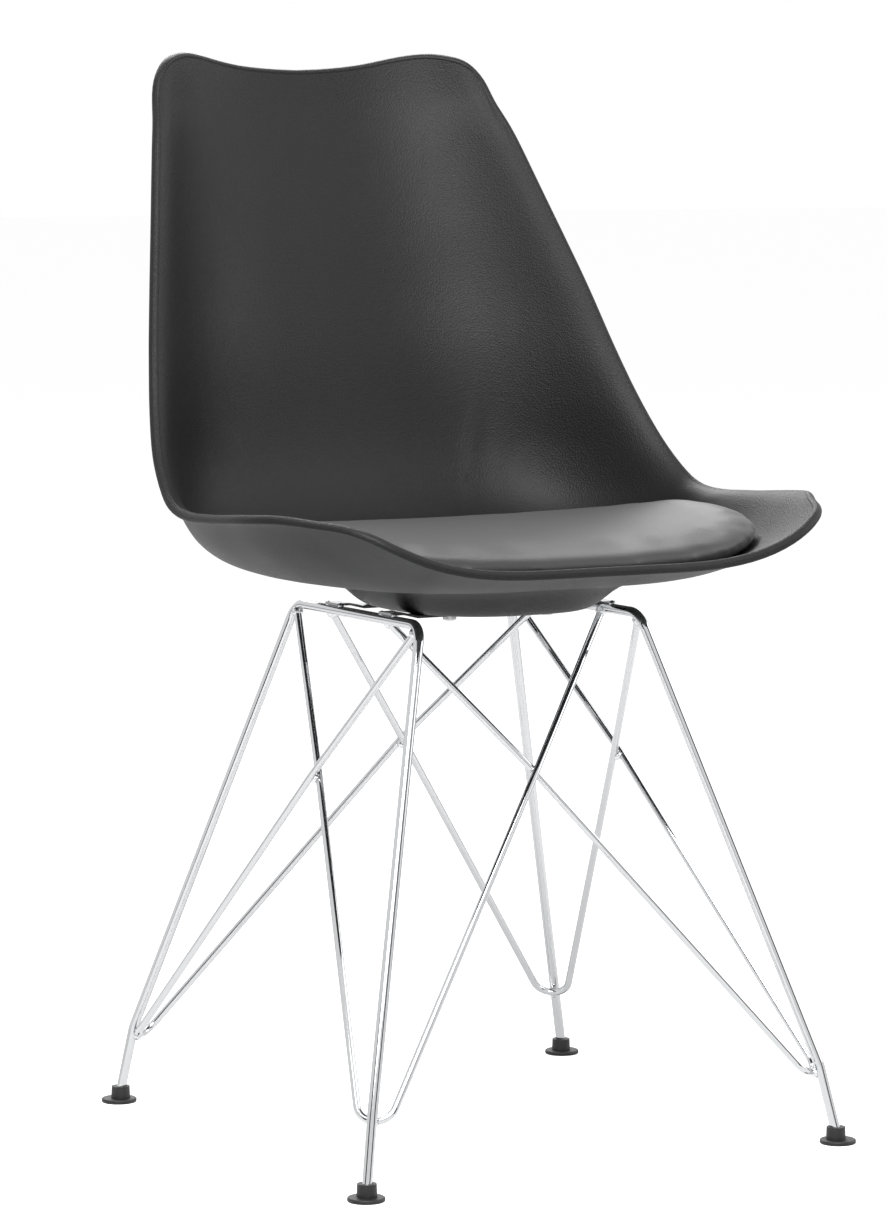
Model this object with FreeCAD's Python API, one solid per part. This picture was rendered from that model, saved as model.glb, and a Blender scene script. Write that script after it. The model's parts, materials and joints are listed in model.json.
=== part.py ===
import FreeCAD, Part
import math
import os

os.makedirs("parts", exist_ok=True)

# Side chair: moulded seat shell, upholstered seat pad, welded rod base.
# The sitter faces -Y, +X is the sitter's left, Z is up.
# The origin is on the floor, midway between the four feet.

# Rod base
frame_rod = 8.0          # diameter of the two hoops that make the legs
brace_rod = 6.0          # diameter of the four V-shaped braces
weld_gap = 0.02          # air left between two rods that are joined by a weld
hoop_height = 410.0      # centre line of the hoop's top run above the floor
hoop_half_gap = 97.8     # from the middle plane to a top run
run_front = -92.7
run_rear = 109.3
hoop_bend = 17.0
knee_out = 198.2
knee_front = -199.8
knee_rear = 204.8
knee_height = 60.8
knee_bend = 30.0
foot_out = 208.9
foot_reach = 210.0       # from the middle to a foot, front and rear alike
foot_end = 3.0           # height of the cut rod end inside its glide

# V braces: the side arm crosses its neighbour beside the chair,
# the cross arm crosses its neighbour in front of or behind it.
brace_bend = 15.0
arm_bend = 60.0          # gentle bend of each arm at its crossing
crossing_spread = 1.08   # crossing arms sit this much further apart than the rod
brace_below_knee = 3.0   # the V touches the leg this far below the knee's middle
bead_drop = 2.6          # weld beads sit just under the rods' crossing
crossing_bead = 3.8      # radii of the weld beads
end_bead = 4.6
strap_bead = 2.4
bead_gap = 0.3           # room in a crossing bead for the bend of the rods
smallest_bead = 0.5      # cubic mm, anything less is left out
side_crossing = FreeCAD.Vector(137.2, 4.0, 286.8)
front_crossing = FreeCAD.Vector(0.0, -98.3, 293.7)
rear_crossing = FreeCAD.Vector(0.0, 113.6, 293.0)
front_arm_end = -38.0
rear_arm_end = 52.0

# Glides
glide_disc = 28.5
glide_disc_thickness = 3.4
glide_collar = 14.8
glide_height = 13.0
glide_edge_round = 1.2
glide_clearance = 0.15   # between a rod end and the glide's socket
glide_mouth = 1.0        # how far the socket's mouth opens out

# Straps across the hoops
strap_width = 20.0
strap_thickness = 2.0
strap_drop = 3.0         # how far the middle hangs below the ends
strap_flat_half = 77.0   # half length of the lowered middle
strap_slope = 12.0       # length of each sloping part
strap_overhang = 3.0     # past the hoop's centre line
screw_spread = 43.5      # screws sit this far either side of the middle plane
front_strap = -42.0
rear_strap = 45.0

# Seat shell: each row is one cross-section, from above the back's top edge
# to beyond the front lip: the middle point (y, z), the point where the
# section meets the rim (x, y, z), and how late the section curls up.
shell_thickness = 4.0
# rim lip, seen in section: outward from the rim, and towards the sitter
lip_profile = [(0.0, 0.0), (1.3, 0.35), (2.6, 0.15), (3.8, -0.7), (4.6, -2.0), (5.0, -3.5),
               (4.9, -5.1), (4.4, -6.3), (3.6, -7.1), (2.7, -7.3), (1.8, -6.9), (1.0, -6.0),
               (0.0, -4.0)]
shell_sections = [
    (304.4, 871.2, 136.4, 261.0, 871.2, 2.9),
    (288.5, 815.9, 153.3, 240.2, 815.9, 2.9),
    (278.8, 786.2, 163.0, 221.0, 786.2, 2.9),
    (265.5, 746.7, 174.3, 200.5, 746.7, 2.9),
    (251.1, 702.1, 186.6, 177.9, 702.1, 2.9),
    (237.8, 657.0, 198.9, 155.4, 657.0, 2.9),
    (223.4, 607.3, 211.2, 132.3, 607.3, 2.9),
    (211.1, 558.6, 222.5, 108.2, 562.7, 3.3),
    (198.8, 517.6, 231.7, 82.6, 528.0, 4.0),
    (178.3, 481.7, 238.6, 49.3, 501.8, 4.8),
    (145.5, 456.1, 241.5, 16.4, 495.0, 5.6),
    (97.4, 442.8, 243.9, -11.2, 495.5, 6.2),
    (30.7, 438.7, 246.0, -35.9, 496.5, 6.5),
    (-41.0, 438.7, 248.1, -70.7, 499.1, 6.2),
    (-102.5, 438.7, 243.0, -109.7, 501.7, 5.0),
    (-153.8, 443.0, 235.0, -153.8, 507.0, 4.0),
    (-194.8, 454.5, 232.0, -194.8, 517.0, 4.0),
    (-219.4, 461.5, 232.0, -219.4, 519.5, 4.0),
    (-251.1, 470.5, 232.0, -251.1, 522.0, 4.0),
]
section_steps = (0.0, 0.2, 0.38, 0.54, 0.66, 0.76, 0.84, 0.89, 0.93, 0.96, 0.98, 1.0, 1.03)
flange_start = 0.95      # share of the half width where the wall turns out into the rim
flange_softness = 8.0
rim_share = 0.98         # where the rim's lip begins, as a share of the half width
rows_per_section = 4
rim_points = 60          # steps round half the rim
normal_sign = 1
pod_limit = 470.0        # the pod's wall fades out below this height
sewing_reach = 0.001
pod_scales = (0.8, 0.9, 1.0, 1.1, 1.2)   # rings round the pod
spread_steps = (0.05, 0.11, 0.18, 0.26, 0.35, 0.44, 0.53, 0.62, 0.7, 0.77, 0.83, 0.88,
                0.92, 0.95, 0.97, 0.985, 1.0)            # from the pod's edge to the rim
ghost_columns = 4        # points past the middle plane that keep it smooth there
first_seat_section = 7   # sections from here on belong to the seat
first_rim_section = 1    # sections whose ends lie on the side rims
last_rim_section = 14

# Outline of the back's top edge, (x, z), from the middle dip to the ear's outside
top_edge = [(0.0, 829.3), (30.7, 830.7), (61.5, 834.2), (91.8, 840.4), (116.0, 842.3),
            (132.5, 838.0), (145.0, 828.5)]
# Outline of the seat's front edge, (x, y), from the corner to the middle
front_edge = [(217.0, -148.8), (194.5, -187.7), (155.6, -203.6), (102.6, -208.3),
              (48.9, -213.2), (0.0, -214.4)]

# Pod moulded under the seat, which sits on the straps
pod_floor = hoop_height + frame_rod / 2 + strap_thickness - strap_drop   # its outside rests on the straps
pod_half_width = 92.0    # at half its depth
pod_half_length = 104.0
pod_centre = -8.0
pod_roundness = 2.6
pod_flare = 0.2          # share of the half width over which the wall slopes
boss_diameter = 18.0
boss_height = 16.0
insert_diameter = 9.0
insert_length = 12.0
screw_diameter = 6.0
screw_head = 10.6
screw_head_height = 3.0
hex_socket = 4.0         # across the flats of the key hole in a screw head
washer_diameter = 12.5
washer_thickness = 1.0
screw_head_round = 1.2
screw_end_short = 2.0    # the tip stops this far below the insert's top
boss_root = 1.0          # how deep a boss grows out of the shell's floor
screw_clearance = 0.25   # round a screw's shank in washers, straps and shell
thread_clearance = 0.05

# Seat pad
pad_half_width = 208.0
pad_front = -182.0
pad_rear = 134.0
pad_roundness = 3.1
pad_top_front = 467.0    # height of the top surface's middle line at the front edge
pad_top_rear = 470.0
pad_dome = 11.0          # how far the middle rises above a straight line front to rear
pad_shoulder = 13.5      # rise from the middle to the side edges
pad_shoulder_power = 3.0
pad_shoulder_rear_share = 0.45   # the rise fades out over this share, towards the rear
pad_gap = 0.8            # between the pad and the shell's seat
pad_points = 36          # steps round half the pad
pad_scales = (0.12, 0.35, 0.58, 0.76, 0.88, 0.95)
pad_roll_steps = 6
cover_thickness = 1.2
board_thickness = 6.0
board_inset = 22.0
board_cover = 1.0        # foam left under the board
cover_fold = 30.0        # how far the cover is folded in under the pad


def vec(x, y, z):
    return FreeCAD.Vector(x, y, z)


def corner_arc(before, corner, after, radius):
    """Tangent points and middle point of the arc that rounds one corner."""
    a = (before - corner).normalize()
    b = (after - corner).normalize()
    half = 0.5 * math.acos(max(-1.0, min(1.0, a.dot(b))))
    reach = radius / math.tan(half)
    middle_way = (a + b).normalize()
    middle = corner + middle_way * (radius / math.sin(half) - radius)
    return corner + a * reach, middle, corner + b * reach


def bent_rod(points, radii, diameter):
    """A round rod through the points, with each inner corner bent."""
    edges = []
    start = points[0]
    for index in range(1, len(points) - 1):
        first, middle, last = corner_arc(points[index - 1], points[index],
                                         points[index + 1], radii[index - 1])
        edges.append(Part.LineSegment(start, first).toShape())
        edges.append(Part.Arc(first, middle, last).toShape())
        start = last
    edges.append(Part.LineSegment(start, points[-1]).toShape())
    path = Part.Wire(edges)
    along = points[1] - points[0]
    profile = Part.Wire(Part.makeCircle(diameter / 2, points[0], along))
    return path.makePipeShell([profile], True, False)


def curl(share, power):
    """How far a section has curled from its middle (0) to its rim (1)."""
    bend = (share / flange_start) ** power + 1e-9
    end = (1.0 / flange_start) ** power
    soften = -flange_softness
    return ((1 + bend ** soften) / (1 + end ** soften)) ** (1 / soften)


def section_point(row, share):
    middle_y, middle_z, rim_x, rim_y, rim_z, power = row
    along = curl(abs(share), power)
    return vec(rim_x * share, middle_y + (rim_y - middle_y) * along,
               middle_z + (rim_z - middle_z) * along)


def pod_share(x, y):
    """1 over the pod's floor, 0 outside it, with a smooth wall between."""
    power = pod_roundness
    out = (abs(x / pod_half_width) ** power
           + abs((y - pod_centre) / pod_half_length) ** power) ** (1 / power)
    slope = max(0.0, min(1.0, (1 + pod_flare - out) / (2 * pod_flare)))
    return slope * slope * (3 - 2 * slope)


def row_at(place):
    """A cross-section between the named ones, place counted in sections."""
    last = len(shell_sections) - 1
    index = min(int(place), last - 1)
    t = place - index
    before = shell_sections[max(index - 1, 0)]
    here = shell_sections[index]
    after = shell_sections[index + 1]
    beyond = shell_sections[min(index + 2, last)]
    row = []
    for a, b, c, d in zip(before, here, after, beyond):
        row.append(b + 0.5 * t * (c - a + t * (2 * a - 5 * b + 4 * c - d
                                               + t * (3 * (b - c) + d - a))))
    return row


def grid_points():
    shares = [-step for step in reversed(section_steps[1:])] + list(section_steps)
    count = rows_per_section * (len(shell_sections) - 1)
    return [[section_point(row_at(step / rows_per_section), share) for share in shares]
            for step in range(count + 1)]


def seat_point(x, y):
    """The point of the seat above (x, y), found between two cross-sections."""
    front = float(len(shell_sections) - 1)
    back = float(first_seat_section)
    for halving in range(30):
        place = (front + back) / 2
        row = row_at(place)
        point = section_point(row, x / row[2])
        if point.y > y:
            back = place
        else:
            front = place
    return point


def marks_between(lines):
    """Parameters for successive lines of points, by their mean distance apart."""
    marks = [0.0]
    for line, following in zip(lines, lines[1:]):
        gaps = [(a - b).Length for a, b in zip(line, following)]
        marks.append(marks[-1] + sum(gaps) / len(gaps))
    return marks


def curve_through(points, marks):
    curve = Part.BSplineCurve()
    curve.interpolate(Points=points, Parameters=marks)
    return curve


def surface_through(rows):
    """A smooth surface through a grid of points: first along, then across the rows."""
    column_marks = marks_between(list(zip(*rows)))
    row_marks = marks_between(rows)
    along = [curve_through(list(row), column_marks) for row in rows]
    pole_columns = list(zip(*[curve.getPoles() for curve in along]))
    across = [curve_through(list(column), row_marks) for column in pole_columns]
    poles = list(zip(*[curve.getPoles() for curve in across]))
    surface = Part.BSplineSurface()
    surface.buildFromPolesMultsKnots(poles, across[0].getMultiplicities(),
                                     along[0].getMultiplicities(), across[0].getKnots(),
                                     along[0].getKnots(), False, False,
                                     across[0].Degree, along[0].Degree)
    return surface


def hits(surface, start, direction):
    found = Part.Line(start, start + direction).intersectCS(surface)[0]
    return [vec(point.X, point.Y, point.Z) for point in found]


def normal_at(surface, point):
    """Unit vector towards the sitter."""
    return surface.normal(*surface.parameter(point)) * normal_sign


def mirrored(point):
    return vec(-point.x, point.y, point.z)


def with_ghosts(half, ghosts):
    """A half ring with its first and last points repeated past the middle plane."""
    before = [mirrored(point) for point in reversed(half[1:ghosts + 1])]
    after = [mirrored(point) for point in reversed(half[-ghosts - 1:-1])]
    return before + half + after


def rim_half(surface):
    """Points of the rim from the middle of the top edge round to the front's middle."""
    half = []
    for x, z in top_edge:
        half.append(max(hits(surface, vec(x, 0, z), vec(0, 1, 0)), key=lambda p: p.y))
    for row in shell_sections[first_rim_section:last_rim_section + 1]:
        half.append(section_point(row, rim_share))
    for x, y in front_edge:
        half.append(seat_point(x, y))
    curve = Part.BSplineCurve()
    curve.interpolate(Points=half + [mirrored(p) for p in reversed(half[1:-1])],
                      PeriodicFlag=True)
    even = curve.discretize(Number=2 * rim_points + 1)[:rim_points + 1]
    even[0] = half[0]
    even[-1] = half[-1]
    return [surface.value(*surface.parameter(point)) for point in even]


def lip_rings(surface, rim):
    """One half ring of points for each corner of the lip's profile."""
    rings = [[] for corner in lip_profile]
    wide = with_ghosts(rim, 1)
    for before, point, after in zip(wide, rim, wide[2:]):
        along = (after - before).normalize()
        towards = normal_at(surface, point)
        outward = towards.cross(along).normalize()
        for ring, (out, off) in zip(rings, lip_profile):
            ring.append(point + outward * out + towards * off)
    return rings


def rings_on(surface, rim):
    """Half rings of surface parameters, from the pod's floor out to the rim."""
    rim = [surface.parameter(point) for point in rim]
    middle = seat_point(0, pod_centre)
    u, v = surface.parameter(middle)
    step = 0.001
    per_u = (surface.value(u + step, v) - middle) * (1 / step)
    per_v = (surface.value(u, v + step) - middle) * (1 / step)
    rings = []
    for scale in pod_scales:
        ring = []
        for rim_u, rim_v in rim:
            way = per_u * (rim_u - u) + per_v * (rim_v - v)
            size = (abs(way.x / pod_half_width) ** pod_roundness
                    + abs(way.y / pod_half_length) ** pod_roundness) ** (1 / pod_roundness)
            point = seat_point(way.x * scale / size, pod_centre + way.y * scale / size)
            ring.append(surface.parameter(point))
        rings.append(ring)
    last = rings[-1]
    for share in spread_steps:
        rings.append([(a + (c - a) * share, b + (d - b) * share)
                      for (a, b), (c, d) in zip(last, rim)])
    return rings


def on_middle(half):
    """Sets the two ends of a half ring exactly on the middle plane."""
    first = vec(0, half[0].y, half[0].z)
    last = vec(0, half[-1].y, half[-1].z)
    return [first] + half[1:-1] + [last]


def half_surface(rings):
    """The smooth surface through half rings, ending on the middle plane."""
    surface = surface_through([with_ghosts(ring, ghost_columns) for ring in rings])
    first = surface.parameter(rings[-1][0])[1]
    last = surface.parameter(rings[-1][-1])[1]
    u_first, u_last = surface.bounds()[:2]
    surface.segment(u_first, u_last, first, last)
    return surface


def nearest_edge(face, point):
    return min(face.Edges, key=lambda edge: edge.distToShape(Part.Vertex(point))[0])


def both_sides(faces):
    return faces + [face.mirror(vec(0, 0, 0), vec(1, 0, 0)) for face in faces]


def floor_face(face, ring):
    """The flat face inside the lowest ring of one side and its mirror image."""
    return Part.Face(Part.Wire(both_sides([nearest_edge(face, ring[len(ring) // 2])])))


def strip_between(first, second):
    """The ruled strip between two edges that run side by side, never the crossed one."""
    strips = [Part.makeRuledSurface(first, edge) for edge in (second, second.reversed())]
    return min(strips, key=lambda strip: strip.Area).Faces[0]


def shell_solid():
    """The shell before its bosses and holes."""
    base = surface_through(grid_points())
    rim = rim_half(base)
    inside = []
    outside = []
    for ring in rings_on(base, rim):
        upper = []
        lower = []
        for u, v in ring:
            point = base.value(u, v)
            under = point - base.normal(u, v) * (normal_sign * shell_thickness)
            sink = pod_share(point.x, point.y) if point.z < pod_limit else 0.0
            upper.append(point - vec(0, 0, sink * (point.z - pod_floor - shell_thickness)))
            lower.append(under - vec(0, 0, sink * (under.z - pod_floor)))
        inside.append(on_middle(upper))
        outside.append(on_middle(lower))
    sitter_side = half_surface(inside)
    upper = sitter_side.toShape()
    lower = half_surface(outside).toShape()
    marks = [sitter_side.parameter(point)[1] for point in inside[-1]]
    edges = [nearest_edge(upper, inside[-1][rim_points // 2])]
    for ring in lip_rings(base, rim)[1:-1]:
        edges.append(curve_through(on_middle(ring), marks).toShape())
    edges.append(nearest_edge(lower, outside[-1][rim_points // 2]))
    lip = [strip_between(a, b) for a, b in zip(edges, edges[1:])]
    faces = both_sides([upper, lower] + lip)
    faces.append(floor_face(upper, inside[0]))
    faces.append(floor_face(lower, outside[0]))
    skin = Part.makeShell(faces)
    skin.sewShape(sewing_reach)
    return Part.Solid(skin)


def drill(shape, x, y, bottom, top, diameter):
    return shape.cut(Part.makeCylinder(diameter / 2, top - bottom, vec(x, y, bottom)))


def screw_places():
    return [(side * screw_spread, y) for y in (front_strap, rear_strap) for side in (-1, 1)]


def strap_bottom():
    """Height of the underside of a strap's lowered middle."""
    return hoop_height + frame_rod / 2 - strap_drop


def seat_shell():
    shell = shell_solid()
    floor = pod_floor + shell_thickness
    for x, y in screw_places():
        boss = Part.makeCylinder(boss_diameter / 2, boss_height + boss_root,
                                 vec(x, y, floor - boss_root))
        shell = shell.fuse(boss)
    for x, y in screw_places():
        shell = drill(shell, x, y, pod_floor - 1, floor + boss_height + 1,
                      screw_diameter + 2 * screw_clearance)
        shell = drill(shell, x, y, floor + boss_height - insert_length,
                      floor + boss_height + 1, insert_diameter)
    return shell


def inserts():
    top = pod_floor + shell_thickness + boss_height
    solids = []
    for x, y in screw_places():
        sleeve = Part.makeCylinder(insert_diameter / 2, insert_length,
                                   vec(x, y, top - insert_length))
        solids.append(drill(sleeve, x, y, top - insert_length - 1, top + 1,
                            screw_diameter + 2 * thread_clearance))
    return Part.makeCompound(solids)


def washers():
    bottom = strap_bottom() - washer_thickness
    solids = []
    for x, y in screw_places():
        disc = Part.makeCylinder(washer_diameter / 2, washer_thickness, vec(x, y, bottom))
        solids.append(drill(disc, x, y, bottom - 1, bottom + washer_thickness + 1,
                            screw_diameter + 2 * screw_clearance))
    return Part.makeCompound(solids)


def hexagon(across_flats, x, y, z):
    reach = across_flats / math.sqrt(3)
    corners = [vec(x + reach * math.cos(math.pi * k / 3), y + reach * math.sin(math.pi * k / 3), z)
               for k in range(7)]
    return Part.Face(Part.makePolygon(corners))


def screws():
    head_top = strap_bottom() - washer_thickness
    tip = pod_floor + shell_thickness + boss_height - screw_end_short
    solids = []
    for x, y in screw_places():
        head = Part.makeCylinder(screw_head / 2, screw_head_height,
                                 vec(x, y, head_top - screw_head_height))
        rim = [edge for edge in head.Edges
               if edge.Closed and edge.BoundBox.ZMax < head_top - screw_head_height / 2]
        head = head.makeFillet(screw_head_round, rim)
        shank = Part.makeCylinder(screw_diameter / 2, tip - head_top, vec(x, y, head_top))
        key = hexagon(hex_socket, x, y, head_top - screw_head_height - 1)
        key = key.extrude(vec(0, 0, 1 + screw_head_height * 0.6))
        solids.append(head.fuse(shank).removeSplitter().cut(key))
    return Part.makeCompound(solids)


def strap(y):
    """Flat strip welded across the hoops, lowered in the middle under the seat."""
    top = hoop_height + frame_rod / 2 + strap_thickness
    low = top - strap_drop
    end = hoop_half_gap + strap_overhang
    line = [(-end, top), (-strap_flat_half - strap_slope, top), (-strap_flat_half, low),
            (strap_flat_half, low), (strap_flat_half + strap_slope, top), (end, top)]
    line += [(x, z - strap_thickness) for x, z in reversed(line)]
    face = Part.Face(Part.makePolygon([vec(x, y - strap_width / 2, z)
                                       for x, z in line + line[:1]]))
    strip = face.extrude(vec(0, strap_width, 0))
    for x in (-screw_spread, screw_spread):
        strip = drill(strip, x, y, low - strap_thickness - 1, low + 1,
                      screw_diameter + 2 * screw_clearance)
    return strip


def hoop(side, diameter):
    """One bent rod: front leg, top run and rear leg. side is -1 or 1."""
    points = [vec(side * foot_out, -foot_reach, foot_end),
              vec(side * knee_out, knee_front, knee_height),
              vec(side * hoop_half_gap, run_front, hoop_height),
              vec(side * hoop_half_gap, run_rear, hoop_height),
              vec(side * knee_out, knee_rear, knee_height),
              vec(side * foot_out, foot_reach, foot_end)]
    return bent_rod(points, [knee_bend, hoop_bend, hoop_bend, knee_bend], diameter)


def corner_middle(side, y):
    """Middle of the hoop's upper bend, where a side arm is welded."""
    corner = vec(side * hoop_half_gap, y, hoop_height)
    knee = vec(side * knee_out, knee_front if y < 0 else knee_rear, knee_height)
    run = vec(side * hoop_half_gap, 0, hoop_height)
    return corner_arc(run, corner, knee, hoop_bend)[1]


def brace_line(side, front):
    """Corner points of one V brace, and where it touches the leg."""
    y_sign = -1 if front else 1
    knee = vec(side * knee_out, knee_front if front else knee_rear, knee_height)
    foot = vec(side * foot_out, y_sign * foot_reach, foot_end)
    top = vec(side * hoop_half_gap, run_front if front else run_rear, hoop_height)
    leg_point = corner_arc(foot, knee, top, knee_bend)[1] - vec(0, 0, brace_below_knee)
    leg = (top - knee).normalize() + (knee - foot).normalize()
    half_gap = crossing_spread * (brace_rod + weld_gap) / 2
    # the rear brace's side arm always passes on the -X side of the front brace's
    side_point = vec(side * side_crossing.x, side_crossing.y, side_crossing.z)
    side_point += vec(half_gap if front else -half_gap, 0, 0)
    side_end = corner_middle(side, run_rear if front else run_front)
    # in front the arm from the right leg is foremost, behind the arm from the left leg
    foremost = side < 0 if front else side > 0
    cross_point = front_crossing if front else rear_crossing
    cross_point = cross_point + vec(0, -half_gap if foremost else half_gap, 0)
    cross_end = vec(-side * hoop_half_gap, front_arm_end if front else rear_arm_end, hoop_height)
    vertex = leg_point
    for attempt in range(8):
        one = (side_point - vertex).normalize()
        two = (cross_point - vertex).normalize()
        half = 0.5 * math.acos(one.dot(two))
        inward = leg.cross(one - two).normalize()
        if inward.x * side > 0:
            inward *= -1
        contact = leg_point + inward * ((frame_rod + brace_rod) / 2 + weld_gap)
        middle_way = (one + two).normalize()
        vertex = contact - middle_way * (brace_bend / math.sin(half) - brace_bend)
    return [side_end, side_point, vertex, cross_point, cross_end], leg_point, contact


def brace(side, front):
    """One V-shaped rod: up one side of the chair, and up across its front or back."""
    points = brace_line(side, front)[0]
    return bent_rod(points, [arm_bend, brace_bend, arm_bend], brace_rod)


def glide(side, y_sign):
    """Push-on foot: a disc with a collar round the rod's end."""
    x = side * foot_out
    y = y_sign * foot_reach
    knee = vec(side * knee_out, knee_front if y_sign < 0 else knee_rear, knee_height)
    foot = vec(x, y, foot_end)
    disc = Part.makeCylinder(glide_disc / 2, glide_disc_thickness, vec(x, y, 0))
    disc = disc.makeFillet(glide_edge_round, [edge for edge in disc.Edges if edge.Closed])
    centre = foot + (knee - foot) * ((glide_height / 2) / knee_height)
    collar = Part.makeCone(glide_collar / 2 + 0.4, glide_collar / 2, glide_height - 1,
                           vec(centre.x, centre.y, 1))
    body = disc.fuse(collar).removeSplitter()
    along = knee - foot
    socket = Part.makeCylinder(frame_rod / 2 + glide_clearance, 30, foot, along)
    mouth = Part.makeCone(0.5, frame_rod / 2 + glide_mouth + 1.4, 6,
                          foot + along * (glide_height - 4.4) * (1 / knee_height), along)
    return body.cut(socket).cut(mouth)


def rod_clear(side):
    """A hoop made thicker by the weld gap, to cut the braces' ends to its shape."""
    return hoop(side, frame_rod + 2 * weld_gap)


def coped_brace(side, front):
    rod = brace(side, front)
    for hoop_side in (-1, 1):
        rod = rod.cut(rod_clear(hoop_side))
    return max(rod.Solids, key=lambda solid: solid.Volume)


def bead(centre, radius, rods):
    """A weld bead: what a small ball leaves outside the rods it joins."""
    ball = Part.makeSphere(radius, centre)
    for rod in rods:
        ball = ball.cut(rod)
    return [solid for solid in ball.Solids if solid.Volume > smallest_bead]


def beads(places, radius, rods):
    solids = []
    for place in places:
        near = [rod for rod in rods if rod.distToShape(Part.Vertex(place))[0] < 2 * radius]
        solids += bead(place, radius, near)
    return Part.makeCompound(solids)


def crossing_welds():
    """Beads under each place where two braces cross."""
    pairs = []
    for side in (-1, 1):
        pairs.append((1, (side, True), (side, False)))
    for front in (True, False):
        pairs.append((3, (-1, front), (1, front)))
    solids = []
    for corner, one, two in pairs:
        middles = []
        rods = []
        for which in (one, two):
            points = brace_line(*which)[0]
            before, point, after = points[corner - 1:corner + 2]
            middle = corner_arc(before, point, after, arm_bend)[1]
            along = (after - before).normalize()
            radius = (brace_rod + bead_gap) / 2
            rods.append(Part.makeCylinder(radius, 4 * brace_rod,
                                          middle - along * (2 * brace_rod), along))
            middles.append(middle)
        centre = (middles[0] + middles[1]) * 0.5 - vec(0, 0, bead_drop)
        solids += bead(centre, crossing_bead, rods)
    return Part.makeCompound(solids)


def hoop_welds(rods):
    """Where the braces' arms end on the hoops' bends and top runs."""
    places = []
    for side in (-1, 1):
        for y in (run_front, run_rear):
            inner = corner_middle(side, y)
            towards = vec(side * side_crossing.x, side_crossing.y, side_crossing.z) - inner
            places.append(inner + towards.normalize() * (frame_rod / 2))
        for y, crossing in ((front_arm_end, front_crossing), (rear_arm_end, rear_crossing)):
            end = vec(side * hoop_half_gap, y, hoop_height)
            places.append(end + (crossing - end).normalize() * (frame_rod / 2))
    return beads(places, end_bead, rods)


def leg_welds(rods):
    places = []
    for side in (-1, 1):
        for front in (True, False):
            leg_point, brace_point = brace_line(side, front)[1:]
            places.append((leg_point + brace_point) * 0.5 - vec(0, 0, bead_drop))
    return beads(places, crossing_bead, rods)


def strap_welds(rods):
    places = []
    for side in (-1, 1):
        for y in (front_strap, rear_strap):
            for edge in (-1, 1):
                places.append(vec(side * hoop_half_gap, y + edge * strap_width / 2,
                                  hoop_height + frame_rod / 2))
    return beads(places, strap_bead, rods)


def pad_top(x, y):
    """Height of the pad's top surface: a low dome that rises at its shoulders."""
    share = (y - pad_front) / (pad_rear - pad_front)
    middle = (pad_top_front + (pad_top_rear - pad_top_front) * share
              + pad_dome * 4 * share * (1 - share))
    rise = pad_shoulder * min(1.0, (1 - share) / pad_shoulder_rear_share)
    return middle + rise * abs(x / pad_half_width) ** pad_shoulder_power


def pad_outline(index, inset, scale):
    """A point of the pad's outline, from the middle of the rear edge to the front's."""
    angle = math.pi * index / pad_points
    half_length = (pad_rear - pad_front) / 2
    middle = (pad_rear + pad_front) / 2
    c = math.cos(angle)
    s = math.sin(angle)
    x = (pad_half_width - inset) * abs(s) ** (2 / pad_roundness)
    y = (half_length - inset) * math.copysign(abs(c) ** (2 / pad_roundness), c)
    return x * scale, middle + y * scale


def pad_body(inset, lift, top_of):
    """A closed cushion that lies this much above the pad's own underside."""
    bottoms = []
    tops = []
    for scale in pad_scales:
        bottom = []
        top = []
        for index in range(pad_points + 1):
            x, y = pad_outline(index, inset, scale)
            low = seat_point(x, y).z + pad_gap + lift
            bottom.append(vec(x, y, low))
            top.append(vec(x, y, top_of(x, y, low)))
        bottoms.append(bottom)
        tops.append(top)
    for ring in (bottoms[0], tops[0]):
        level = sum(point.z for point in ring) / len(ring)
        ring[:] = [vec(point.x, point.y, level) for point in ring]
    side = []
    for step in range(1, pad_roll_steps):
        angle = math.pi * (step / pad_roll_steps - 0.5)
        ring = []
        for index, (low, high) in enumerate(zip(bottoms[-1], tops[-1])):
            x, y = pad_outline(index, inset, pad_scales[-1]
                               + (1 - pad_scales[-1]) * math.cos(angle))
            height = (low.z + high.z) / 2 + (high.z - low.z) / 2 * math.sin(angle)
            ring.append(vec(x, y, max(height, seat_point(x, y).z + pad_gap + lift)))
        side.append(ring)
    rings = [on_middle(ring) for ring in bottoms + side + tops[::-1]]
    face = half_surface(rings).toShape()
    faces = both_sides([face])
    faces.append(floor_face(face, rings[0]))
    faces.append(floor_face(face, rings[-1]))
    skin = Part.makeShell(faces)
    skin.sewShape(sewing_reach)
    return Part.Solid(skin)


def pad_pieces():
    """Cover, foam and base board of the seat pad."""
    whole = pad_body(0, 0, lambda x, y, low: pad_top(x, y))
    core = pad_body(cover_thickness, cover_thickness,
                    lambda x, y, low: pad_top(x, y) - cover_thickness)
    board = pad_body(board_inset, cover_thickness + board_cover,
                     lambda x, y, low: low + board_thickness)
    window = pad_body(cover_fold, -cover_thickness,
                      lambda x, y, low: low + 3 * cover_thickness)
    return whole.cut(core).cut(window), core.cut(board), board


def save(name, shape):
    shape.exportStep(os.path.join("parts", name + ".step"))


hoops = {side: hoop(side, frame_rod) for side in (-1, 1)}
braces = {(side, front): coped_brace(side, front) for side in (-1, 1) for front in (True, False)}
straps = {y: strap(y) for y in (front_strap, rear_strap)}
rods = list(hoops.values()) + list(braces.values())

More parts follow.
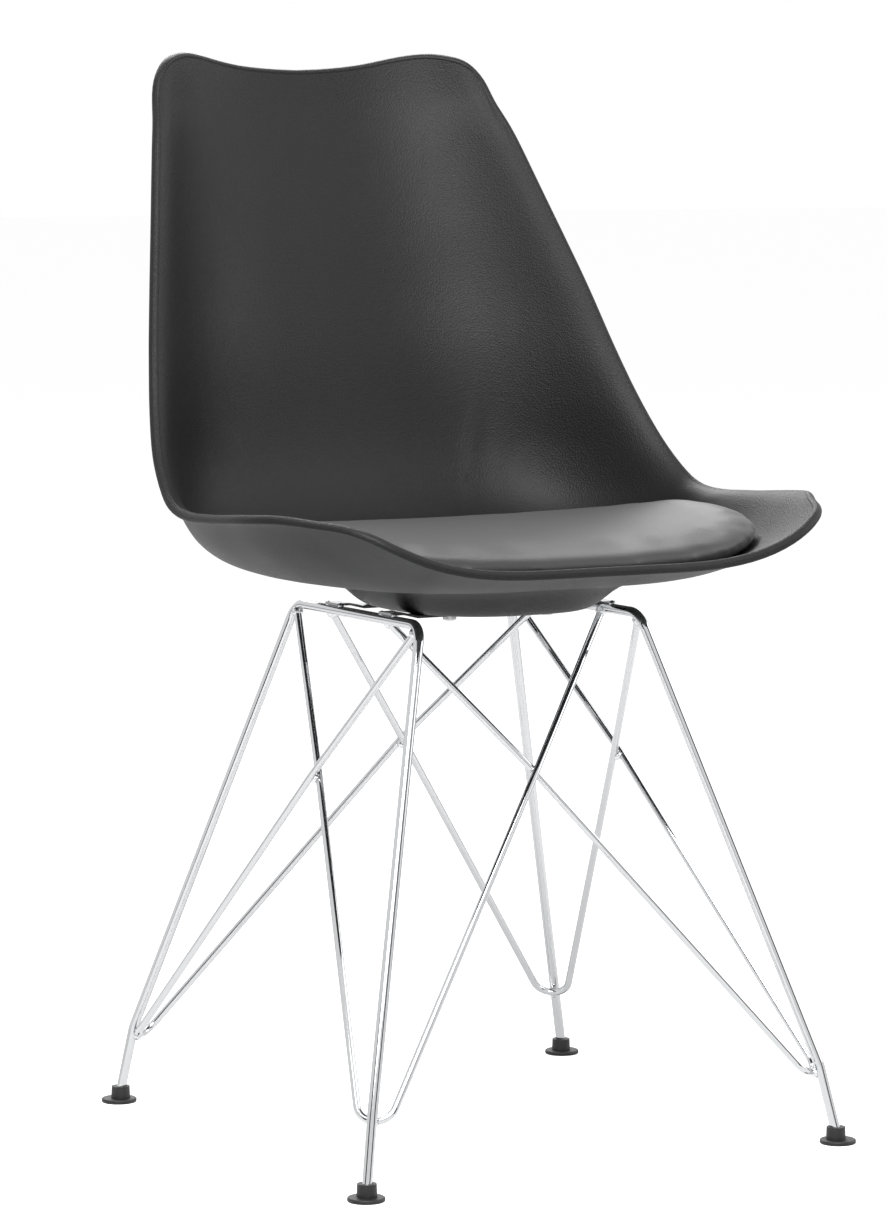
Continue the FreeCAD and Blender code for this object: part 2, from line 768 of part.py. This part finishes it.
save("seat_shell", seat_shell())
cover, foam, board = pad_pieces()
save("pad_cover", cover)
save("pad_foam", foam)
save("pad_board", board)
save("hoop_right", hoops[-1])
save("hoop_left", hoops[1])
for side, side_name in ((-1, "right"), (1, "left")):
    for front, end_name in ((True, "front"), (False, "rear")):
        save("brace_" + end_name + "_" + side_name, braces[side, front])
        save("glide_" + end_name + "_" + side_name, glide(side, -1 if front else 1))
save("strap_front", straps[front_strap])
save("strap_rear", straps[rear_strap])
save("seat_screws", screws())
save("seat_washers", washers())
save("shell_inserts", inserts())
save("welds_crossings", crossing_welds())
save("welds_hoops", hoop_welds(rods))
save("welds_legs", leg_welds(rods))
save("welds_straps", strap_welds(list(hoops.values()) + list(straps.values())))
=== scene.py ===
import json
import math
import bmesh
import bpy
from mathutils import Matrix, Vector


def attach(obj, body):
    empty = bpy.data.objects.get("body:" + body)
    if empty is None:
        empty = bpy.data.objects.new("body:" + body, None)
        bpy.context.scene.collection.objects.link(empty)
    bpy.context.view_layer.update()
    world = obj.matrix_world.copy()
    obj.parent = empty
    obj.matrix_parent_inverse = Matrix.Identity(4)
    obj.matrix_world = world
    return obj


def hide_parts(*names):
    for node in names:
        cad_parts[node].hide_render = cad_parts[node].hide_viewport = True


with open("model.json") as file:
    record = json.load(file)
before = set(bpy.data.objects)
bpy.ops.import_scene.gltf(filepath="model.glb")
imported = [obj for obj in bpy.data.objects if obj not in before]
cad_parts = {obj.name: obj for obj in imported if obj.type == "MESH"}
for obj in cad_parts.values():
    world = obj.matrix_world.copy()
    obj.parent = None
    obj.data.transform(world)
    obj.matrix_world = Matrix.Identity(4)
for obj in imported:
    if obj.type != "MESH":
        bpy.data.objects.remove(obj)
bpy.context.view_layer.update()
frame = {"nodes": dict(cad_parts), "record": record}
nodes = frame["nodes"]
print("frame loaded:", len(nodes), "nodes")


# materials
def newMaterial(name, base, roughness, metallic=0.0):
    mat = bpy.data.materials.new(name)
    mat.use_nodes = True
    shader = mat.node_tree.nodes["Principled BSDF"]
    shader.inputs["Base Color"].default_value = (*base, 1.0)
    shader.inputs["Roughness"].default_value = roughness
    shader.inputs["Metallic"].default_value = metallic
    return mat


def addNode(mat, kind, **values):
    node = mat.node_tree.nodes.new(kind)
    for key, value in values.items():
        if key in node.inputs:
            node.inputs[key].default_value = value
        else:
            setattr(node, key, value)
    return node


def link(mat, a, outName, b, inName):
    mat.node_tree.links.new(a.outputs[outName], b.inputs[inName])


def objectCoords(mat):
    return addNode(mat, "ShaderNodeTexCoord")


def shaderOf(mat):
    return mat.node_tree.nodes["Principled BSDF"]


def ramp(mat, fromMin, fromMax, toMin, toMax):
    node = addNode(mat, "ShaderNodeMapRange")
    node.inputs["From Min"].default_value = fromMin
    node.inputs["From Max"].default_value = fromMax
    node.inputs["To Min"].default_value = toMin
    node.inputs["To Max"].default_value = toMax
    return node


# black moulded plastic with a fine leather-like grain
shellLook = {
    "base": (0.004, 0.004, 0.0042),
    "roughness": 0.5,
    "specular": 0.3,
    "grainStrength": 0.6,
    "cloudSize": 9.0,        # slow changes of the gloss
    "cloudDull": 0.04,
    "cloudShiny": 0.03,
    "grainSize": 700.0,
    "grainDepth": 0.0003,
}


def makeShellPlastic(look):
    mat = newMaterial("shell_plastic", look["base"], look["roughness"])
    shader = shaderOf(mat)
    shader.inputs["Specular IOR Level"].default_value = look["specular"]
    coords = objectCoords(mat)
    grain = addNode(mat, "ShaderNodeTexVoronoi", Scale=look["grainSize"])
    grain.feature = "F1"
    link(mat, coords, "Object", grain, "Vector")
    fine = addNode(mat, "ShaderNodeTexNoise", Scale=look["grainSize"] * 1.7, Detail=2.0)
    link(mat, coords, "Object", fine, "Vector")
    both = addNode(mat, "ShaderNodeMath", operation="ADD")
    link(mat, grain, "Distance", both, 0)
    link(mat, fine, "Fac", both, 1)
    bump = addNode(mat, "ShaderNodeBump", Strength=look["grainStrength"],
                   Distance=look["grainDepth"])
    link(mat, both, "Value", bump, "Height")
    link(mat, bump, "Normal", shader, "Normal")
    # faint unevenness of the gloss, as on a handled moulding
    cloud = addNode(mat, "ShaderNodeTexNoise", Scale=look["cloudSize"], Detail=3.0)
    link(mat, coords, "Object", cloud, "Vector")
    rough = ramp(mat, 0.3, 0.7, look["roughness"] - look["cloudShiny"],
                 look["roughness"] + look["cloudDull"])
    link(mat, cloud, "Fac", rough, "Value")
    link(mat, rough, "Result", shader, "Roughness")
    return mat


# bright chromium plating on thin rod
chromeLook = {"base": (0.60, 0.61, 0.62), "roughness": 0.06}


def makeChrome(name, look):
    mat = newMaterial(name, look["base"], look["roughness"], 1.0)
    coords = objectCoords(mat)
    wave = addNode(mat, "ShaderNodeTexNoise", Scale=60.0, Detail=2.0)
    link(mat, coords, "Object", wave, "Vector")
    rough = ramp(mat, 0.35, 0.65, look["roughness"] * 0.7, look["roughness"] * 1.6)
    link(mat, wave, "Fac", rough, "Value")
    link(mat, rough, "Result", shaderOf(mat), "Roughness")
    return mat


weldLook = {"base": (0.70, 0.71, 0.72), "roughness": 0.2, "ripple": 700.0, "depth": 0.0006}


def makeWeld(look):
    mat = newMaterial("weld_metal", look["base"], look["roughness"], 1.0)
    coords = objectCoords(mat)
    ripple = addNode(mat, "ShaderNodeTexNoise", Scale=look["ripple"], Detail=3.0)
    link(mat, coords, "Object", ripple, "Vector")
    bump = addNode(mat, "ShaderNodeBump", Strength=0.6, Distance=look["depth"])
    link(mat, ripple, "Fac", bump, "Height")
    link(mat, bump, "Normal", shaderOf(mat), "Normal")
    return mat


glideLook = {"base": (0.008, 0.008, 0.008), "roughness": 0.5, "grain": 1500.0, "depth": 0.00008}


def makeGlidePlastic(look):
    mat = newMaterial("glide_plastic", look["base"], look["roughness"])
    coords = objectCoords(mat)
    grain = addNode(mat, "ShaderNodeTexNoise", Scale=look["grain"], Detail=2.0)
    link(mat, coords, "Object", grain, "Vector")
    bump = addNode(mat, "ShaderNodeBump", Strength=0.3, Distance=look["depth"])
    link(mat, grain, "Fac", bump, "Height")
    link(mat, bump, "Normal", shaderOf(mat), "Normal")
    return mat


# synthetic leather: pebbled grain, a little sheen
padLook = {
    "base": (0.014, 0.014, 0.0145),
    "roughness": 0.45,
    "pebble": 520.0,
    "depth": 0.00025,
    "sheen": 0.15,
    "sheenRoughness": 0.5,
    "bump": 0.4,
}


def makePadLeather(look):
    mat = newMaterial("pad_leather", look["base"], look["roughness"])
    shader = shaderOf(mat)
    shader.inputs["Sheen Weight"].default_value = look["sheen"]
    shader.inputs["Sheen Roughness"].default_value = look["sheenRoughness"]
    coords = objectCoords(mat)
    pebble = addNode(mat, "ShaderNodeTexVoronoi", Scale=look["pebble"])
    pebble.feature = "SMOOTH_F1"
    link(mat, coords, "Object", pebble, "Vector")
    creases = addNode(mat, "ShaderNodeTexNoise", Scale=look["pebble"] * 0.25, Detail=4.0)
    link(mat, coords, "Object", creases, "Vector")
    both = addNode(mat, "ShaderNodeMath", operation="ADD")
    link(mat, pebble, "Distance", both, 0)
    link(mat, creases, "Fac", both, 1)
    bump = addNode(mat, "ShaderNodeBump", Strength=look["bump"], Distance=look["depth"])
    link(mat, both, "Value", bump, "Height")
    link(mat, bump, "Normal", shader, "Normal")
    return mat


steelLook = {"base": (0.52, 0.52, 0.53), "roughness": 0.3}
brassLook = {"base": (0.72, 0.58, 0.30), "roughness": 0.35}
boardLook = {"base": (0.42, 0.30, 0.17), "roughness": 0.7}
foamLook = {"base": (0.75, 0.72, 0.62), "roughness": 0.95}

materials = {
    "shell_plastic": makeShellPlastic(shellLook),
    "chromed_rod": makeChrome("chromed_rod", chromeLook),
    "chromed_strap": makeChrome("chromed_strap", chromeLook),
    "weld_metal": makeWeld(weldLook),
    "glide_plastic": makeGlidePlastic(glideLook),
    "pad_cover": makePadLeather(padLook),
    "screw_steel": newMaterial("screw_steel", steelLook["base"], steelLook["roughness"], 1.0),
    "insert_brass": newMaterial("insert_brass", brassLook["base"], brassLook["roughness"], 1.0),
    "pad_board": newMaterial("pad_board", boardLook["base"], boardLook["roughness"]),
    "pad_foam": newMaterial("pad_foam", foamLook["base"], foamLook["roughness"]),
}

slotOf = {part["node"]: part["material_slot"] for part in frame["record"]["subparts"]}
for name, obj in nodes.items():
    for slot in obj.material_slots:
        slot.material = materials[slotOf[name]]
print("materials assigned")


# seat pad
padShape = {
    "voxel": 0.005,
    "pressure": 4.0,
    "frames": 20,
    "cap": 0.002,          # how far a point of the pad may swell
    "settle": 10,          # smoothing passes that take the voxels out
    "stretch": 40.0,       # stiffness of the cover along its surface
    "bend": 2.0,
}


def keepLargestIsland(bm):
    # leaves only the outer skin of a body with a hollow inside
    left = set(bm.faces)
    islands = []
    while left:
        start = left.pop()
        island = {start}
        front = [start]
        while front:
            face = front.pop()
            for edge in face.edges:
                for other in edge.link_faces:
                    if other in left:
                        left.discard(other)
                        island.add(other)
                        front.append(other)
        islands.append(island)
    largest = max(islands, key=lambda i: sum(f.calc_area() for f in i))
    bmesh.ops.delete(bm, geom=[f for f in bm.faces if f not in largest], context="FACES")


def evaluated(obj):
    graph = bpy.context.evaluated_depsgraph_get()
    return bpy.data.meshes.new_from_object(obj.evaluated_get(graph))


def swapMesh(obj, mesh):
    old = obj.data
    obj.modifiers.clear()
    obj.data = mesh
    bpy.data.meshes.remove(old)


def inflate(obj, shape):
    # presses the cover out over the foam with a short cloth simulation
    rest = [v.co.copy() for v in obj.data.vertices]
    held = obj.vertex_groups.new(name="underside")
    for v in obj.data.vertices:
        weight = min(1.0, max(0.0, 0.1 - v.normal.z * 3.0))
        if weight > 0:
            held.add([v.index], weight, "REPLACE")
    cloth = obj.modifiers.new("Cloth", "CLOTH")
    settings = cloth.settings
    settings.use_pressure = True
    settings.uniform_pressure_force = shape["pressure"]
    settings.vertex_group_mass = held.name
    settings.effector_weights.gravity = 0.0
    settings.tension_stiffness = shape["stretch"]
    settings.compression_stiffness = shape["stretch"]
    settings.bending_stiffness = shape["bend"]
    scene = bpy.context.scene
    for step in range(1, shape["frames"] + 1):
        scene.frame_set(step)
    mesh = evaluated(obj)
    scene.frame_set(1)
    for v in mesh.vertices:
        move = v.co - rest[v.index]
        if move.length > shape["cap"]:
            v.co = rest[v.index] + move.normalized() * shape["cap"]
    swapMesh(obj, mesh)
    obj.vertex_groups.clear()


def makePad(shape):
    mesh = nodes["pad_foam"].data.copy()
    mesh.name = "pad_cushion"
    pad = bpy.data.objects.new("pad_cushion", mesh)
    bpy.context.scene.collection.objects.link(pad)
    bm = bmesh.new()
    bm.from_mesh(mesh)
    bmesh.ops.remove_doubles(bm, verts=bm.verts, dist=0.00001)
    keepLargestIsland(bm)
    bmesh.ops.recalc_face_normals(bm, faces=bm.faces)
    bm.to_mesh(mesh)
    bm.free()
    remesh = pad.modifiers.new("Remesh", "REMESH")
    remesh.mode = "VOXEL"
    remesh.voxel_size = shape["voxel"]
    smooth = pad.modifiers.new("Smooth", "SMOOTH")
    smooth.iterations = shape["settle"]
    swapMesh(pad, evaluated(pad))
    inflate(pad, shape)
    smooth = pad.modifiers.new("Smooth", "SMOOTH")
    smooth.iterations = shape["settle"]
    rounder = pad.modifiers.new("Subdivision", "SUBSURF")
    rounder.levels = rounder.render_levels = 1
    swapMesh(pad, evaluated(pad))
    for face in pad.data.polygons:
        face.use_smooth = True
    pad.data.materials.clear()
    pad.data.materials.append(materials["pad_cover"])
    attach(pad, "root")
    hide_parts("pad_cover", "pad_foam")
    print("pad made:", len(pad.data.polygons), "faces")
    return pad


makePad(padShape)


# floor, light, camera
stageLook = {
    "floorColor": (0.9, 0.9, 0.9),
    "floorLift": 0.70,       # extra white that only the camera sees; it hides the shadow
    "floorSize": 60.0,
    "skyStrength": 0.42,
    "keyPower": 120.0,
    "fillPower": 26.0,
    "rearPower": 60.0,
}

# black cards beside the camera, which give the chrome its dark lines
cardPlaces = {
    "card_left": {"at": (-2.3, -0.9, 0.7), "size": (0.9, 1.6)},
    "card_right": {"at": (0.9, -2.3, 0.7), "size": (0.9, 1.6)},
}


def seenDirectly(tree):
    # camera, mirror and see-through rays, as one factor
    path = tree.nodes.new("ShaderNodeLightPath")
    total = path.outputs["Is Camera Ray"]
    for name in ("Is Glossy Ray", "Is Transmission Ray"):
        both = tree.nodes.new("ShaderNodeMath")
        both.operation = "ADD"
        both.use_clamp = True
        tree.links.new(total, both.inputs[0])
        tree.links.new(path.outputs[name], both.inputs[1])
        total = both.outputs["Value"]
    return total


def makeFloor(look):
    mesh = bpy.data.meshes.new("floor")
    bm = bmesh.new()
    bmesh.ops.create_grid(bm, x_segments=1, y_segments=1, size=look["floorSize"] / 2)
    bm.to_mesh(mesh)
    bm.free()
    floor = bpy.data.objects.new("floor", mesh)
    bpy.context.scene.collection.objects.link(floor)
    mat = newMaterial("floor_white", look["floorColor"], 0.8)
    shader = shaderOf(mat)
    shader.inputs["Specular IOR Level"].default_value = 0.0
    shader.inputs["Emission Color"].default_value = (1.0, 1.0, 1.0, 1.0)
    lift = mat.node_tree.nodes.new("ShaderNodeMath")
    lift.operation = "MULTIPLY"
    lift.inputs[1].default_value = look["floorLift"]
    path = mat.node_tree.nodes.new("ShaderNodeLightPath")
    mat.node_tree.links.new(path.outputs["Is Camera Ray"], lift.inputs[0])
    link(mat, lift, "Value", shader, "Emission Strength")
    floor.data.materials.append(mat)


def makeCards(places):
    black = newMaterial("card_black", (0.01, 0.01, 0.01), 0.9)
    for name, card in places.items():
        mesh = bpy.data.meshes.new(name)
        bm = bmesh.new()
        bmesh.ops.create_grid(bm, x_segments=1, y_segments=1, size=0.5)
        bmesh.ops.scale(bm, verts=bm.verts, vec=(card["size"][0], card["size"][1], 1.0))
        bm.to_mesh(mesh)
        bm.free()
        obj = bpy.data.objects.new(name, mesh)
        obj.location = card["at"]
        bpy.context.scene.collection.objects.link(obj)
        aimAt(obj, (0.0, 0.0, card["at"][2]))
        mesh.materials.append(black)


def aimAt(obj, target):
    obj.rotation_euler = (Vector(target) - obj.location).to_track_quat("-Z", "Y").to_euler()


def areaLight(name, place, target, size, power):
    data = bpy.data.lights.new(name, "AREA")
    data.shape = "RECTANGLE"
    data.size, data.size_y = size
    data.energy = power
    light = bpy.data.objects.new(name, data)
    light.location = place
    bpy.context.scene.collection.objects.link(light)
    aimAt(light, target)


def makeWorld(look):
    world = bpy.data.worlds.new("studio")
    world.use_nodes = True
    tree = world.node_tree
    back = tree.nodes["Background"]
    back.inputs["Color"].default_value = (0.75, 0.75, 0.75, 1)
    back.inputs["Strength"].default_value = look["skyStrength"]
    white = tree.nodes.new("ShaderNodeBackground")
    white.inputs["Color"].default_value = (1, 1, 1, 1)
    mix = tree.nodes.new("ShaderNodeMixShader")
    tree.links.new(seenDirectly(tree), mix.inputs["Fac"])
    tree.links.new(back.outputs["Background"], mix.inputs[1])
    tree.links.new(white.outputs["Background"], mix.inputs[2])
    tree.links.new(mix.outputs["Shader"], tree.nodes["World Output"].inputs["Surface"])
    bpy.context.scene.world = world


# the photograph's viewpoint
cameraSetup = {
    "place": (-1.90758, -3.34056, 0.80160),
    "turn": -29.4009,        # degrees round the object
    "down": 5.8568,          # degrees below level
    "lens": 199.531,
    "sensor": 36.0,
    "farthest": 50.0,
}


def makeCamera(setup):
    data = bpy.data.cameras.new("camera")
    data.sensor_fit = "HORIZONTAL"
    data.sensor_width = setup["sensor"]
    data.lens = setup["lens"]
    data.clip_end = setup["farthest"]
    camera = bpy.data.objects.new("camera", data)
    camera.location = setup["place"]
    level = math.pi / 2
    camera.rotation_euler = (level - math.radians(setup["down"]), 0,
                             math.radians(setup["turn"]))
    bpy.context.scene.collection.objects.link(camera)
    bpy.context.scene.camera = camera


makeFloor(stageLook)
makeWorld(stageLook)
makeCards(cardPlaces)
areaLight("key", (-1.2, -1.8, 2.6), (0, 0, 0.5), (2.0, 2.0), stageLook["keyPower"])
areaLight("fill", (2.4, -1.0, 1.8), (0, 0, 0.5), (1.6, 2.2), stageLook["fillPower"])
areaLight("rear", (0.6, 2.2, 2.4), (0, 0, 0.4), (1.8, 1.8), stageLook["rearPower"])
makeCamera(cameraSetup)
bpy.context.scene.view_settings.view_transform = "Standard"
print("stage set")
